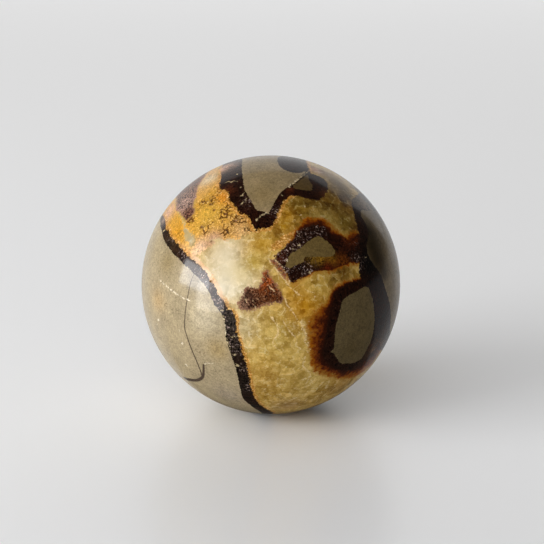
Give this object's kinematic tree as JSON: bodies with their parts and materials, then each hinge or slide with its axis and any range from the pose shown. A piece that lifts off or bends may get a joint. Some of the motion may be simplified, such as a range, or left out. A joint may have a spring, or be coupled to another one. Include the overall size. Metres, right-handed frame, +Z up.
{
  "type": "septarian nodule",
  "caption": "Septarian nodule cut and polished to a ball, resting on a small flat spot, as a decorative stone or paperweight.",
  "frame": {"origin": "centre of the flat spot under the ball, on the surface that it rests on", "axes": "+Z up through the middle of the ball; the face with the large calcite vein looks along -Y"},
  "size_m": [0.065, 0.065, 0.0644],
  "materials": {
    "septarian_stone": "polished limestone, dark brown aragonite and yellow calcite in one smooth surface"
  },
  "bodies": {
    "root": {"nodule": "septarian_stone"}
  },
  "joints": []
}
